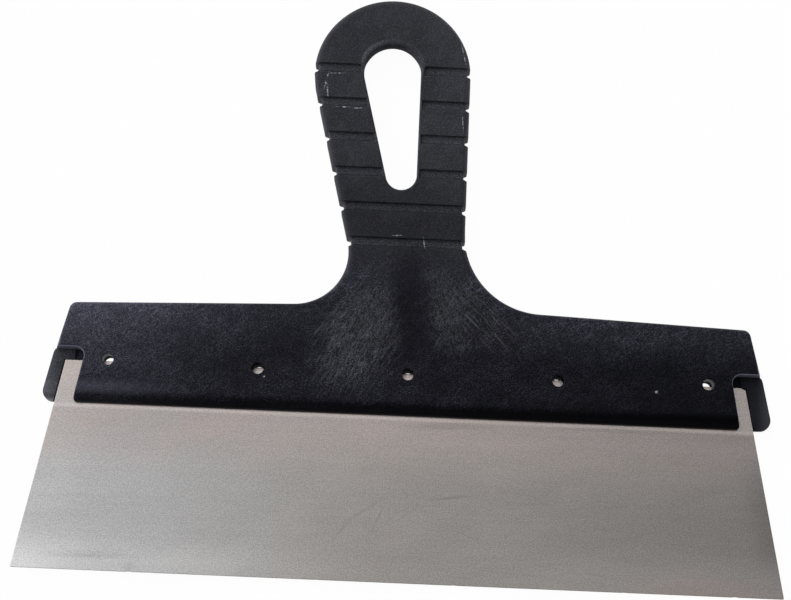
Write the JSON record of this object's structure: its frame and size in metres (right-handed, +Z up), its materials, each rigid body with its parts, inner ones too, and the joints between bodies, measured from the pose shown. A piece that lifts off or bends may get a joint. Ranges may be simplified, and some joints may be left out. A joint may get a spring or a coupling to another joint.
{
  "type": "putty knife",
  "caption": "Wide putty knife with a flared satin steel blade moulded into a black plastic handle, whose leaning grooved grip has a finger hole. It spreads filler on walls.",
  "frame": {"origin": "on the table, under the middle of the knife's box, with the knife lying on its back", "axes": "+X along the working edge to the right as the picture shows it, +Y from the working edge towards the grip, +Z up from the table to the front face"},
  "size_m": [0.3, 0.2364, 0.011],
  "materials": {
    "steel": "satin",
    "plastic": "moulded black with a fine grain and scuffs"
  },
  "bodies": {
    "root": {"blade": "steel", "handle": "plastic"}
  },
  "joints": []
}
